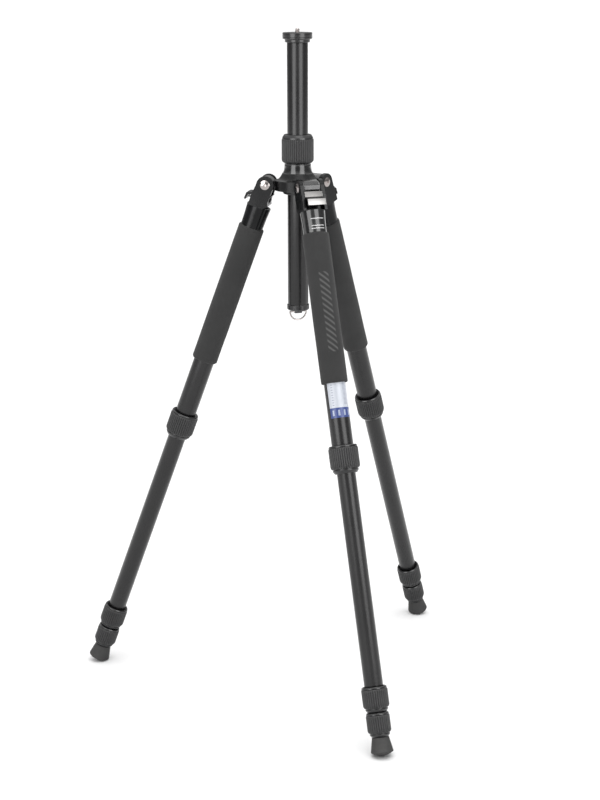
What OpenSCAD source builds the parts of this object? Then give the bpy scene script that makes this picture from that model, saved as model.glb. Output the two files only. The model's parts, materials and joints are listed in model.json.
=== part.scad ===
// Folding travel tripod: four-section twist-lock legs and a sliding, turning centre column.
// Millimetres, +Z up. The origin is on the floor under the column, and the front leg points along -Y.

/* [Column] */
// Outer diameter of the centre column
column_d = 28.4; // [24:0.2:36]
// Wall of the centre column
column_wall = 1.4; // [1.2:0.1:2]
// Length of the centre column's tube
column_len = 358.1; // [300:1:420]
// Height of the column tube's top above the leg hinges, as it is set
column_rise = 191.1; // [150:1:240]
// Width of the end cap's rim past the column tube
end_cap_rim = 1.2; // [1:0.1:2.5]
// Height of the end cap's rim
end_cap_h = 8; // [6:0.5:12]
// Inner radius of the ballast ring's bow
ring_bow = 10.9; // [9:0.1:14]
// Wire diameter of the ballast ring
ring_wire_d = 2.2; // [2:0.1:3]

/* [Top plate] */
// Diameter of the mounting plate
plate_d = 40.5; // [36:0.5:60]
// Thickness of the mounting plate
plate_h = 8.8; // [6:0.1:12]
// Diameter of the boss under the plate
boss_d = 34.2; // [32:0.1:36]
// Height of the boss under the plate
boss_h = 4.3; // [4:0.1:8]
// Diameter of the camera screw, a quarter inch
screw_d = 6.35; // [6.35:3.175:9.525]
// Height of the camera screw above the plate
screw_h = 5.2; // [4:0.1:12]

/* [Spider] */
// Width of the flange around the column
flange_w = 17.4; // [16:0.1:24]
// Thickness of the flange
flange_h = 14; // [12:0.5:15]
// Width of each hinge lug
lug_w = 20.3; // [16:0.1:24]
// Radius of each hinge lug
lug_r = 11; // [9:0.5:11]
// Wall of the neck where it meets the column lock
neck_wall = 4.1; // [3.4:0.05:5]
// Height of the neck's top above the leg hinges
neck_top = 28.1; // [26:0.1:36]
// Length of the column lock's grip
column_grip_len = 39.6; // [34:0.1:46]
// Wall of the column lock's grip, outside the column
column_grip_wall = 7.7; // [7:0.1:10]

/* [Leg hinges] */
// Angle of each leg from the vertical, as it stands
splay = 20.09; // [16:0.01:24]
// Diameter of the hinge axle
axle_d = 8; // [6:0.5:10]
// Thickness of each ear of the yoke
ear_t = 5.3; // [4:0.1:7]
// Radius of each ear of the yoke
ear_r = 12; // [11.5:0.1:12.4]
// Thickness of each hinge washer
washer_t = 1.85; // [1.5:0.05:2.5]
// Depth of the yoke's block from front to back
block_depth = 27; // [26:0.5:30]
// Length of the yoke's round socket below the block
socket_len = 30; // [20:1:40]
// Diameter of the catch's pin
catch_pin_d = 3; // [2.5:0.1:3.4]

/* [Legs] */
// Outer diameter of the top leg tube
leg_d = 29.2; // [23:0.2:31]
// Walls of the leg tubes, top to bottom
leg_walls = [1.2, 1.1, 1.1, 1.1];
// Gap between one leg tube and the next inside it
tube_gap = 0.8; // [0.7:0.05:1.2]
// Length of the top leg tube
tube_1_len = 346.5; // [300:0.5:420]
// How far the second section is drawn out
tube_2_out = 282; // [0:1:282]
// Thickness of the foam sleeve
foam_t = 3.65; // [3:0.05:6]
// Length of the foam sleeve
foam_len = 204.4; // [120:0.1:260]
// Lengths of the three twist locks, top to bottom
lock_lens = [37.6, 33.4, 31.8];
// Walls of the three twist locks, outside their upper tubes
lock_walls = [5.3, 4.9, 5.1];
// Diameter of the rubber foot at its widest
foot_d = 30; // [26:0.5:34]
// Radius of the foot's domed tread
foot_dome_r = 25.6; // [22:0.1:30]

/* [Hidden] */
$fn = 96;
running = 0.05;      // radial clearance of a running fit
tube_clear = 0.5;    // radial clearance where a lock's rim passes a tube
face_gap = 0.4;      // gap between flat faces that pass each other
LEGS = ["front", "right", "left"];
LEG_AZIMUTHS = [-90, 30, 150];

column_r = column_d / 2;
flange_r = column_r + flange_w;
ear_tuck = 0.6;      // how far the ears reach in over the flange's rim line
hinge_r = flange_r + ear_r - ear_tuck;
flange_top = flange_h / 2 - 0.9;
flange_bottom = flange_top - flange_h;
hub_r = column_r + 6;
hub_bottom = flange_bottom - 5;
neck_r = column_r + neck_wall;
// The neck's flare, from the flange up: width past the column, and height over the flange.
neck_curve = [[13.2, 0.9], [11.5, 2.3], [9.9, 4.4], [8.4, 6.8], [6.9, 9.5],
              [6.3, 9.9], [5.5, 11.8], [4.9, 14.2], [4.4, 17.6]];
collet_wall = 2.2;
collet_r = column_r + running + collet_wall;
collet_z = flange_top + 6;
sleeve_r = collet_r + running + 1.3;
sleeve_top = neck_top + column_grip_len - 7.6;
column_grip_z = neck_top + face_gap;
column_grip_r = column_r + column_grip_wall;
column_grip_top = column_grip_z + column_grip_len;
column_ribs = 44;
column_bottom = column_rise - column_len;
spigot_len = 20;
grub_r = 1.5;
plate_grub_r = 1.7;
plate_grub_len = 6;
cap_lug_w = 10;
cap_lug_t = 5;
ring_wire_r = ring_wire_d / 2;
ring_z = column_bottom - end_cap_h - 2.5;
ring_bow_r = ring_bow + ring_wire_r;
screw_head_r = screw_d / 2 + 2.6;
screw_shank_r = screw_d / 2 + 0.4;   // the plain shank inside the plate
screw_head_h = 2.5;

axle_r = axle_d / 2;
ear_in = lug_w / 2 + running + washer_t;
yoke_half = ear_in + ear_t;
washer_r = lug_r - 1.5;
head_r = 6.5;
head_h = 1.6;
socket_key = 5;      // across the corners of the hexagon socket
block_top = lug_r + 1.5;
block_h = 20.5;
block_bottom = block_top + block_h;
block_p = block_depth / 2;
channel_half = ear_in + 1.3;
channel_floor = 5;
tube_1_top = block_bottom + 3.5;
socket_top_wall = 2.3;
socket_wall = 1.1;
socket_bottom = block_bottom + socket_len;
catch_half = channel_half - 0.35;
catch_pin_r = catch_pin_d / 2;
catch_s = block_top + 2;
catch_p = block_p - 3.3;
catch_barrel_r = catch_pin_r + 1.2;
lip_out = 8.4;       // how far the catch's lip stands out from the block's face
catch_top = lug_r - 3.4;
spring_s = block_top + 11.4;
scallop_r = 16;      // the hollows in the block's inner edges
scallop_depth = 1.9;
scallop_s = block_top + 7;

leg_r = [for (i = 0, r = leg_d / 2; i < 4; r = r - leg_walls[i] - tube_gap, i = i + 1) r];
foam_r = leg_r[0] + foam_t;
foam_top = socket_bottom + 0.2;
lock_lip = 5.7;      // from a tube's end to its lock's bottom face
stack_gaps = [1.2, 0.7];
tube_1_end = tube_1_top + tube_1_len;
lock_1_bottom = tube_1_end + lock_lip;
lock_2_bottom = lock_1_bottom + stack_gaps[0] + lock_lens[1] + tube_2_out;
lock_3_bottom = lock_2_bottom + stack_gaps[1] + lock_lens[2];
lock_bottoms = [lock_1_bottom, lock_2_bottom, lock_3_bottom];
tube_ends = [tube_1_end, lock_2_bottom - lock_lip, lock_3_bottom - lock_lip, lock_3_bottom + 7.2];
tube_2_top = tube_1_top + 6.5 + tube_2_out;
tube_inset = 16;
tube_tops = [tube_1_top, tube_2_top, tube_2_top + tube_inset, tube_2_top + 2 * tube_inset];
guide_len = 40;
collet_len = 12;
nut_walls = [1.7, 1.7, 1.7];
nut_start = 3.7;     // from a grip's top face to its nut
nut_cap = 2.2;
lock_ribs = [40, 36, 32];
foot_top = lock_3_bottom + face_gap;
foot_centre = foot_top - 0.95;
foot_r = foot_d / 2;
foot_edge_r = foot_r - 0.5;
foot_edge = foot_centre + sqrt(foot_dome_r * foot_dome_r - foot_edge_r * foot_edge_r);
hinge_z = foot_centre * cos(splay) + foot_dome_r;

CENTRE_NODES = ["spider", "column_collet", "column_lock_grip", "column_tube", "top_plate",
                "camera_screw", "column_grub_screws", "column_end_cap", "ballast_ring"];
LEG_NODES = ["yoke", "hinge_axle", "hinge_washers", "catch", "catch_pin", "foam_sleeve",
             "tube_1", "lock_1_nut", "lock_1_grip", "tube_2", "lock_2_nut", "lock_2_grip",
             "tube_3", "lock_3_nut", "lock_3_grip", "tube_4", "foot"];

// A ring turned from a closed outline of [radius, height] points.
module turned(points) rotate_extrude() polygon(points);

// A tube along +Z from one height to another.
module pipe(outer_r, inner_r, low, high)
    translate([0, 0, low]) difference() {
        cylinder(r = outer_r, h = high - low);
        translate([0, 0, -1]) cylinder(r = inner_r, h = high - low + 2);
    }

// A round pin or hole along X, centred.
module cross_rod(r, length) rotate([0, 90, 0]) cylinder(r = r, h = length, center = true);

// The outline of a ribbed grip: flat-topped ribs with narrow valleys.
function ribbed(crest_r, valley_r, count) =
    [for (i = [0:count - 1]) for (corner = [[0, valley_r], [0.16, crest_r], [0.66, crest_r], [0.82, valley_r]])
        let (a = 360 * (i + corner[0]) / count) corner[1] * [cos(a), sin(a)]];

// Places its children in the frame of one leg: +Z down the leg, +Y outwards, the hinge at the origin.
module on_leg(i)
    rotate([0, 0, LEG_AZIMUTHS[i]]) translate([hinge_r, 0, hinge_z])
        rotate([0, -splay, 0]) rotate([180, 0, 90]) children();

module above_hinges() translate([0, 0, hinge_z]) children();

// ---- Centre ----

module spider() color([0.10, 0.10, 0.11]) above_hinges() difference() {
    union() {
        turned([[0, hub_bottom], [hub_r - 1, hub_bottom], [hub_r, hub_bottom + 1], [hub_r, flange_bottom],
                [flange_r - 0.8, flange_bottom], [flange_r, flange_bottom + 0.8],
                [flange_r, flange_top - 0.6], [flange_r - 0.6, flange_top],
                for (point = neck_curve) [column_r + point[0], flange_top + point[1]],
                [neck_r, neck_top - 1], [neck_r - 0.6, neck_top],
                [sleeve_r, neck_top], [sleeve_r, sleeve_top], [0, sleeve_top]]);
        for (azimuth = LEG_AZIMUTHS) rotate([0, 0, azimuth]) {
            translate([hub_r - 2, -lug_w / 2, flange_bottom])
                cube([hinge_r - hub_r + 2, lug_w, flange_h - 1]);
            translate([hinge_r, 0, 0]) rotate([90, 0, 0]) cylinder(r = lug_r, h = lug_w, center = true);
        }
    }
    translate([0, 0, hub_bottom - 1]) cylinder(r = column_r + running, h = sleeve_top - hub_bottom + 2);
    translate([0, 0, collet_z]) cylinder(r = collet_r + running, h = sleeve_top - collet_z + 1);
    for (azimuth = LEG_AZIMUTHS) rotate([0, 0, azimuth]) translate([hinge_r, 0, 0])
        rotate([90, 0, 0]) cylinder(r = axle_r + running, h = lug_w + 2, center = true);
}

module column_collet() color([0.15, 0.15, 0.16]) above_hinges()
    pipe(collet_r, column_r + running, collet_z + face_gap, column_grip_top - 4);

module column_lock_grip() color([0.07, 0.07, 0.075]) above_hinges() {
    rib_low = column_grip_z + 5;
    rib_high = column_grip_top - 6.5;
    bore = sleeve_r + running;
    turned([[bore, column_grip_z], [column_grip_r - 4, column_grip_z], [column_grip_r - 0.6, rib_low - 1],
            [column_grip_r - 0.6, rib_low], [bore, rib_low]]);
    translate([0, 0, rib_low]) linear_extrude(rib_high - rib_low) difference() {
        polygon(ribbed(column_grip_r, column_grip_r - 0.8, column_ribs));
        circle(r = bore);
    }
    turned([[bore, rib_high], [column_grip_r - 0.4, rib_high], [column_grip_r - 0.4, rib_high + 0.6],
            [column_grip_r - 2.9, column_grip_top - 0.6], [column_grip_r - 3.5, column_grip_top],
            [column_grip_r - 4.2, column_grip_top], [column_grip_r - 4.6, column_grip_top - 0.4],
            [column_r + tube_clear, column_grip_top - 2.8],
            [column_r + tube_clear, column_grip_top - 3.6], [bore, column_grip_top - 3.6]]);
}

module column_tube() color([0.13, 0.13, 0.14]) above_hinges() difference() {
    pipe(column_r, column_r - column_wall, column_bottom, column_rise);
    translate([0, 0, column_bottom + spigot_len - 8.4]) rotate([90, 0, 0])
        cylinder(r = grub_r, h = column_r + 2);
}

module top_plate() color([0.10, 0.10, 0.105]) above_hinges() difference() {
    plate_z = column_rise + boss_h;
    turned([[0, column_rise - 12], [column_r - column_wall, column_rise - 12],
            [column_r - column_wall, column_rise], [boss_d / 2 - 0.6, column_rise],
            [boss_d / 2, column_rise + 0.6], [boss_d / 2, plate_z], [plate_d / 2 - 1, plate_z],
            [plate_d / 2, plate_z + 1], [plate_d / 2, plate_z + plate_h - 0.8],
            [plate_d / 2 - 0.8, plate_z + plate_h], [0, plate_z + plate_h]]);
    translate([0, 0, column_rise - 13]) cylinder(r = screw_head_r, h = 13 + screw_head_h);
    cylinder(r = screw_shank_r, h = plate_z + plate_h + 1);
    for (azimuth = LEG_AZIMUTHS) rotate([0, 0, azimuth + 60])
        translate([plate_d / 2 - plate_grub_len, 0, plate_z + plate_h / 2]) rotate([0, 90, 0])
            cylinder(r = plate_grub_r, h = plate_grub_len + 1);
}

module camera_screw() color([0.78, 0.78, 0.80]) above_hinges()
    turned([[0, column_rise], [screw_head_r, column_rise], [screw_head_r, column_rise + screw_head_h],
            [screw_shank_r, column_rise + screw_head_h], [screw_shank_r, column_rise + boss_h + plate_h],
            [screw_d / 2, column_rise + boss_h + plate_h],
            [screw_d / 2, column_rise + boss_h + plate_h + screw_h - 0.9],
            [screw_d / 2 - 0.9, column_rise + boss_h + plate_h + screw_h],
            [0, column_rise + boss_h + plate_h + screw_h]]);

// Three grub screws in the plate's rim, and the one that pins the end cap in the column.
module column_grub_screws() color([0.55, 0.55, 0.57]) above_hinges() {
    for (azimuth = LEG_AZIMUTHS) rotate([0, 0, azimuth + 60])
        translate([plate_d / 2 - plate_grub_len, 0, column_rise + boss_h + plate_h / 2]) rotate([0, 90, 0])
            difference() {
                cylinder(r = plate_grub_r, h = plate_grub_len - 0.6);
                translate([0, 0, plate_grub_len - 2.1]) cylinder(r = 0.9, h = 2, $fn = 6);
            }
    translate([0, 0, column_bottom + spigot_len - 8.4]) rotate([90, 0, 0])
        translate([0, 0, column_r - 6]) cylinder(r = grub_r, h = 5.7);
}

module column_end_cap() color([0.08, 0.08, 0.085]) above_hinges() difference() {
    rim_r = column_r + end_cap_rim;
    bottom = column_bottom - end_cap_h;
    union() {
        turned([[0, bottom], [rim_r - 1.5, bottom], [rim_r, bottom + 1.5], [rim_r, column_bottom - 0.8],
                [rim_r - 0.8, column_bottom], [column_r - column_wall, column_bottom],
                [column_r - column_wall, column_bottom + spigot_len - 1],
                [column_r - column_wall - 1, column_bottom + spigot_len], [0, column_bottom + spigot_len]]);
        translate([-cap_lug_w / 2, -cap_lug_t / 2, ring_z - ring_wire_r - 1.4])
            cube([cap_lug_w, cap_lug_t, bottom - ring_z + ring_wire_r + 2.4]);
    }
    translate([0, 0, ring_z]) cross_rod(ring_wire_r + running, cap_lug_w + 2);
    translate([0, 0, column_bottom + spigot_len - 8.4]) rotate([90, 0, 0])
        translate([0, 0, column_r - 6]) cylinder(r = grub_r, h = 8);
    translate([0, 0, column_bottom + 4]) cylinder(r = column_r - 7.5, h = spigot_len);
}

module ballast_ring() color([0.80, 0.80, 0.82]) above_hinges() translate([0, 0, ring_z]) {
    cross_rod(ring_wire_r, 2 * ring_bow_r);
    for (side = [-1, 1]) translate([side * ring_bow_r, 0, 0]) sphere(r = ring_wire_r);
    rotate([-90, 0, 0]) rotate_extrude(angle = 180) translate([ring_bow_r, 0]) circle(r = ring_wire_r, $fn = 24);
}

// ---- One leg, in its own frame ----

module yoke() color([0.09, 0.09, 0.10]) difference() {
    union() {
        for (side = [-1, 1]) translate([side * (ear_in + ear_t / 2), 0, 0]) {
            cross_rod(ear_r, ear_t);
            translate([-ear_t / 2, -ear_r, 0]) cube([ear_t, 2 * ear_r, block_top + 1]);
        }
        difference() {
            rotate([90, 0, 90]) translate([0, 0, -yoke_half]) linear_extrude(2 * yoke_half)
                polygon([[-block_p, block_top], [block_p, block_top], [block_p, block_bottom],
                         [-block_p + 6, block_bottom], [-block_p, block_bottom - 6]]);
            translate([0, scallop_depth - block_p - scallop_r, scallop_s]) cross_rod(scallop_r, 2 * yoke_half + 2);
        }
        turned([[0, block_top], [block_p - 2, block_top], [block_p - 0.8, scallop_s - 4.5],
                [block_p + 0.3, scallop_s - 1.5], [block_p + 0.5, scallop_s + 1], [block_p, scallop_s + 4],
                [block_p - 1.4, scallop_s + 7], [block_p - 3, block_bottom - 4.5], [0, block_bottom - 4.5]]);
        turned([[leg_r[0] - 1, block_bottom - 1], [leg_r[0] + socket_top_wall, block_bottom - 1],
                [leg_r[0] + socket_top_wall, block_bottom + 1], [leg_r[0] + socket_top_wall - 0.8, block_bottom + 14],
                [leg_r[0] + socket_wall, socket_bottom], [leg_r[0] - 1, socket_bottom]]);
    }
    cross_rod(axle_r, 2 * yoke_half + 2);
    translate([0, catch_p, catch_s]) cross_rod(catch_pin_r, 2 * yoke_half - 2);
    translate([-channel_half, channel_floor, catch_top - 1.2])
        cube([2 * channel_half, block_p, block_bottom - catch_top + 1.2]);
    translate([0, 0, tube_1_top]) cylinder(r = leg_r[0], h = socket_len);
}

module hinge_axle() color([0.82, 0.82, 0.84]) difference() {
    union() {
        cross_rod(axle_r, 2 * yoke_half);
        for (side = [-1, 1]) rotate([0, side * 90, 0]) translate([0, 0, yoke_half])
            turned([[0, 0], [head_r, 0], [head_r, 0.6], [head_r - 0.7, 1.1], [head_r - 2.6, head_h], [0, head_h]]);
    }
    for (side = [-1, 1]) translate([side * (yoke_half + head_h), 0, 0]) rotate([0, 90, 0])
        cylinder(d = socket_key, h = 2.4, center = true, $fn = 6);
}

module hinge_washers() color([0.72, 0.72, 0.73]) for (side = [-1, 1])
    translate([side * (lug_w / 2 + running), 0, 0]) rotate([0, side * 90, 0])
        pipe(washer_r, axle_r, 0, washer_t);

// A bell crank with a nose towards the lug and a hooked lip for the fingertip.
module catch() color([0.62, 0.62, 0.64]) difference() {
    union() {
        rotate([90, 0, 90]) translate([0, 0, -catch_half]) linear_extrude(2 * catch_half)
            polygon([[catch_p + 0.7, catch_top + 0.4], [block_p - 0.9, catch_top], [block_p - 0.6, catch_top + 0.8],
                     [block_p + 0.1, block_top + 3], [block_p + 2, block_top + 4.2], [block_p + 6.2, block_top + 5.5],
                     [block_p + lip_out - 0.5, block_top + 7], [block_p + lip_out, block_top + 15.8],
                     [block_p + lip_out - 2.4, block_top + 16], [block_p + lip_out - 2.9, block_top + 9],
                     [block_p + 1.5, block_top + 7.1], [catch_p + 0.8, block_top + 5.6],
                     [catch_p - 2, block_top + 3.6], [catch_p - 1.6, block_top]]);
        translate([0, catch_p, catch_s]) cross_rod(catch_barrel_r, 2 * catch_half);
    }
    translate([0, catch_p, catch_s]) cross_rod(catch_pin_r + running, 2 * catch_half + 2);
}

// The catch's pin, and the spring that presses its lower arm outwards.
module catch_pin() color([0.70, 0.70, 0.72]) {
    translate([0, catch_p, catch_s]) cross_rod(catch_pin_r, 2 * yoke_half - 2);
    translate([0, channel_floor, spring_s]) rotate([-90, 0, 0])
        cylinder(r = 2.2, h = block_p + lip_out - 2.9 - running - channel_floor);
}

module foam_sleeve() color([0.14, 0.14, 0.14]) {
    bottom = foam_top + foam_len;
    turned([[leg_r[0], foam_top], [foam_r - 1.6, foam_top], [foam_r - 0.5, foam_top + 0.5], [foam_r, foam_top + 1.6],
            [foam_r, bottom - 1.6], [foam_r - 0.5, bottom - 0.5], [foam_r - 1.6, bottom], [leg_r[0], bottom]]);
}

// Leg tube k, with the guide that runs in the tube above it.
module leg_tube(k) color([0.12, 0.12, 0.13]) {
    inner_r = leg_r[k] - leg_walls[k];
    guide_r = k == 0 ? leg_r[0] : leg_r[k] + tube_gap - running;
    guide_end = tube_tops[k] + guide_len;
    turned([[inner_r, tube_tops[k]], [guide_r, tube_tops[k]], [guide_r, guide_end],
            [leg_r[k], guide_end], [leg_r[k], tube_ends[k]], [inner_r, tube_ends[k]]]);
}

// The threaded collar on the end of tube k, with the collet that grips the next tube.
module lock_nut(k) color([0.20, 0.20, 0.21]) {
    tube_r = leg_r[k];
    nut_r = tube_r + nut_walls[k];
    bore = leg_r[k + 1] + running;
    tube_end = tube_ends[k];
    nut_top = lock_bottoms[k] - lock_lens[k] + nut_start;
    turned([[tube_r, nut_top], [nut_r, nut_top], [nut_r, tube_end + nut_cap],
            [bore, tube_end + nut_cap], [bore, tube_end - collet_len],
            [tube_r - leg_walls[k], tube_end - collet_len], [tube_r - leg_walls[k], tube_end], [tube_r, tube_end]]);
}

// The ribbed grip that turns on the collar: a chamfered rim, ribs that round in below, a groove and a ring.
module lock_grip(k) color([0.07, 0.07, 0.075]) {
    crest = leg_r[k] + lock_walls[k];
    bore = leg_r[k] + nut_walls[k] + running;
    bottom = lock_bottoms[k];
    top = bottom - lock_lens[k];
    rib_top = top + 4;
    rib_bottom = bottom - 0.27 * lock_lens[k];
    groove = bottom - 0.16 * lock_lens[k];
    turned([[leg_r[k] + tube_clear, top + 2.2], [crest - 2.5, top + 0.3], [crest - 2.2, top], [crest - 1.5, top],
            [crest - 0.4, top + 1.3], [crest - 0.4, rib_top], [bore, rib_top],
            [bore, top + 3.3], [leg_r[k] + tube_clear, top + 3.3]]);
    translate([0, 0, rib_top]) linear_extrude(rib_bottom - rib_top) difference() {
        polygon(ribbed(crest, crest - 0.8, lock_ribs[k]));
        circle(r = bore);
    }
    turned([[bore, rib_bottom], [crest - 0.4, rib_bottom], [crest - 1, rib_bottom + 1.6], [crest - 2, groove],
            [crest - 2.9, groove], [crest - 2.9, groove + 1], [crest - 2.2, groove + 1],
            [crest - 2.4, groove + 2.4], [leg_r[k + 1] + 2.4, bottom], [leg_r[k + 1] + 1.3, bottom],
            [leg_r[k + 1] + tube_clear, bottom - 0.8], [leg_r[k + 1] + tube_clear, bottom - 2.4],
            [bore, bottom - 2.9]]);
}

module foot() color([0.06, 0.06, 0.06]) difference() {
    intersection() {
        turned([[0, foot_top], [foot_r - 4, foot_top], [foot_r - 3.5, foot_top + 0.6],
                [foot_r, foot_edge - 1.8], [foot_r, foot_edge - 0.6],
                [foot_edge_r, foot_edge], [foot_edge_r, foot_edge + foot_dome_r], [0, foot_edge + foot_dome_r]]);
        translate([0, 0, foot_centre]) sphere(r = foot_dome_r);
    }
    translate([0, 0, foot_top - 1]) cylinder(r = leg_r[3], h = tube_ends[3] - foot_top + 1);
}

// ---- Drawing ----

spider();
column_collet();
column_lock_grip();
column_tube();
top_plate();
camera_screw();
column_grub_screws();
column_end_cap();
ballast_ring();
for (i = [0:2]) on_leg(i) {
    yoke();
    hinge_axle();
    hinge_washers();
    catch();
    catch_pin();
    foam_sleeve();
    leg_tube(0);
    lock_nut(0);
    lock_grip(0);
    leg_tube(1);
    lock_nut(1);
    lock_grip(1);
    leg_tube(2);
    lock_nut(2);
    lock_grip(2);
    leg_tube(3);
    foot();
}
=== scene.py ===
"""Looks of the folding travel tripod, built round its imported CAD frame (Blender 4.5, metres)."""

import json
import logging
import math
from collections.abc import Callable, Sequence
from dataclasses import dataclass, field
from enum import Enum

import bmesh
import bpy
from mathutils import Matrix, Vector, noise

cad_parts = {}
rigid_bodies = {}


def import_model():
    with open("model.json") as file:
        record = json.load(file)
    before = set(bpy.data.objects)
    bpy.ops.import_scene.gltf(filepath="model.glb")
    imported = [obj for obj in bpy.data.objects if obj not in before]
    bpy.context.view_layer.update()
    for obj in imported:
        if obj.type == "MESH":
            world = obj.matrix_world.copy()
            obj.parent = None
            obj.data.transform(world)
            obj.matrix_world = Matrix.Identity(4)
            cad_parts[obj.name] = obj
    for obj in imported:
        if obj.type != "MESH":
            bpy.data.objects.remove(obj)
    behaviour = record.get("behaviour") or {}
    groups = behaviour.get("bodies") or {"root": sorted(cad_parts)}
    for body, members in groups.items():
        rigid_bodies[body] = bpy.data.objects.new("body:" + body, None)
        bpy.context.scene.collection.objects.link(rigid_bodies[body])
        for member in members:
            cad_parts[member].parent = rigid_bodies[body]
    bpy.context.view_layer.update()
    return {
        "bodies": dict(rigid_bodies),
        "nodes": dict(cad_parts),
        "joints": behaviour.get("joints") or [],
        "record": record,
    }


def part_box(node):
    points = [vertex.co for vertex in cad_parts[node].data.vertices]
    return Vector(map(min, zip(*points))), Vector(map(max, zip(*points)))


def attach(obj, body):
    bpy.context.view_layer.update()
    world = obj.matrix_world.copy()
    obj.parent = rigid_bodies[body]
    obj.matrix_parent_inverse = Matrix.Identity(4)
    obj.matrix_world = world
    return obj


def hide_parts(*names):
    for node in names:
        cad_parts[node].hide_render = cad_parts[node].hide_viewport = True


LOG = logging.getLogger("tripod")
MM = 0.001
ROUND_STEPS = 96
Point = tuple[float, float]
Colour = tuple[float, float, float]


class Slot(Enum):
    """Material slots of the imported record."""

    CASTING = "black_casting"
    TUBE = "black_tube"
    GRIP = "grip_rubber"
    FOAM = "foam"
    CAP = "cap_plastic"
    BRIGHT = "bright_steel"
    SATIN = "satin_silver"
    SPRING = "spring_steel"
    FOOT = "foot_rubber"


# ---------------------------------------------------------------- shader groups


class Group:
    """A shader node group under construction, with named inputs and outputs."""

    def __init__(self, name: str) -> None:
        """Start an empty group.

        Args:
            name: The group's name.
        """
        self.tree = bpy.data.node_groups.new(name, "ShaderNodeTree")
        self.entry = self.tree.nodes.new("NodeGroupInput")
        self.exit = self.tree.nodes.new("NodeGroupOutput")

    def socket(self, name: str, kind: str, default: object = None, output: bool = False) -> None:
        """Add one socket to the group.

        Args:
            name: The socket's name.
            kind: Float, Color or Vector.
            default: Its default value.
            output: Whether it is an output.
        """
        made = self.tree.interface.new_socket(
            name, in_out="OUTPUT" if output else "INPUT", socket_type=f"NodeSocket{kind}"
        )
        if default is not None:
            made.default_value = default


class Wiring:
    """Adds and links nodes in one node tree."""

    def __init__(self, tree: bpy.types.NodeTree) -> None:
        """Keep the tree that nodes go into."""
        self.tree = tree

    def add(self, kind: str, inputs: dict | None = None, **settings: object) -> bpy.types.Node:
        """Add a node.

        Args:
            kind: Node type without its ShaderNode prefix.
            inputs: Values or output sockets by input name or index.
            settings: Properties of the node itself.

        Returns:
            The new node.
        """
        node = self.tree.nodes.new(f"ShaderNode{kind}")
        for key, value in settings.items():
            setattr(node, key, value)
        for key, value in (inputs or {}).items():
            if isinstance(value, bpy.types.NodeSocket):
                self.tree.links.new(value, node.inputs[key])
            else:
                node.inputs[key].default_value = value
        return node

    def math(self, operation: str, first: object, second: object = 0.0, clamp: bool = False) -> bpy.types.NodeSocket:
        """Join two values by one operation and return the result's socket."""
        return self.add("Math", {0: first, 1: second}, operation=operation, use_clamp=clamp).outputs[0]

    def remap(self, value: object, low: float, high: float, to_low: object = 0.0,
              to_high: object = 1.0) -> bpy.types.NodeSocket:
        """Map a value smoothly from one range to another and return the result's socket."""
        node = self.add("MapRange", {0: value, 1: low, 2: high, 3: to_low, 4: to_high})
        node.interpolation_type = "SMOOTHSTEP"
        return node.outputs[0]

    def mix(self, factor: object, first: object, second: object) -> bpy.types.NodeSocket:
        """Mix two colours and return the result's socket."""
        node = self.add("Mix", data_type="RGBA")
        for index, value in ((0, factor), (6, first), (7, second)):
            if isinstance(value, bpy.types.NodeSocket):
                self.tree.links.new(value, node.inputs[index])
            else:
                node.inputs[index].default_value = value
        return node.outputs[2]

    def band(self, value: object, low: float, high: float, edge: float) -> bpy.types.NodeSocket:
        """Mask of the values between two limits, with soft edges, as a socket."""
        rising = self.add("MapRange", {0: value, 1: low - edge, 2: low + edge, 3: 0.0, 4: 1.0}).outputs[0]
        falling = self.add("MapRange", {0: value, 1: high - edge, 2: high + edge, 3: 1.0, 4: 0.0}).outputs[0]
        return self.math("MULTIPLY", rising, falling)


def grain_group() -> bpy.types.NodeTree:
    """Build the group that gives a finish its fine grain, blotches and tone.

    Returns:
        The group's tree: colour, roughness and height from a vector.
    """
    group = Group("fine_grain")
    group.socket("Vector", "Vector")
    group.socket("Grain Scale", "Float", 2500.0)
    group.socket("Blotch Scale", "Float", 30.0)
    group.socket("Base", "Color", (0.02, 0.02, 0.02, 1.0))
    group.socket("Tint", "Color", (0.03, 0.03, 0.03, 1.0))
    group.socket("Roughness", "Float", 0.4)
    group.socket("Spread", "Float", 0.08)
    group.socket("Color", "Color", output=True)
    group.socket("Roughness", "Float", output=True)
    group.socket("Height", "Float", output=True)
    wire = Wiring(group.tree)
    entry = group.entry.outputs
    fine = wire.add("TexNoise", {"Vector": entry["Vector"], "Scale": entry["Grain Scale"], "Detail": 3.0})
    broad = wire.add("TexNoise", {"Vector": entry["Vector"], "Scale": entry["Blotch Scale"], "Detail": 4.0})
    broad_mask = wire.remap(broad.outputs[0], 0.3, 0.7)
    both = wire.math("ADD", wire.math("MULTIPLY", broad_mask, 0.6), wire.math("MULTIPLY", fine.outputs[0], 0.4))
    colour = wire.mix(both, entry["Base"], entry["Tint"])
    swing = wire.math("MULTIPLY", wire.math("SUBTRACT", both, 0.5), entry["Spread"])
    rough = wire.math("ADD", entry["Roughness"], swing, clamp=True)
    group.tree.links.new(colour, group.exit.inputs["Color"])
    group.tree.links.new(rough, group.exit.inputs["Roughness"])
    group.tree.links.new(fine.outputs[0], group.exit.inputs["Height"])
    return group.tree


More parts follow.
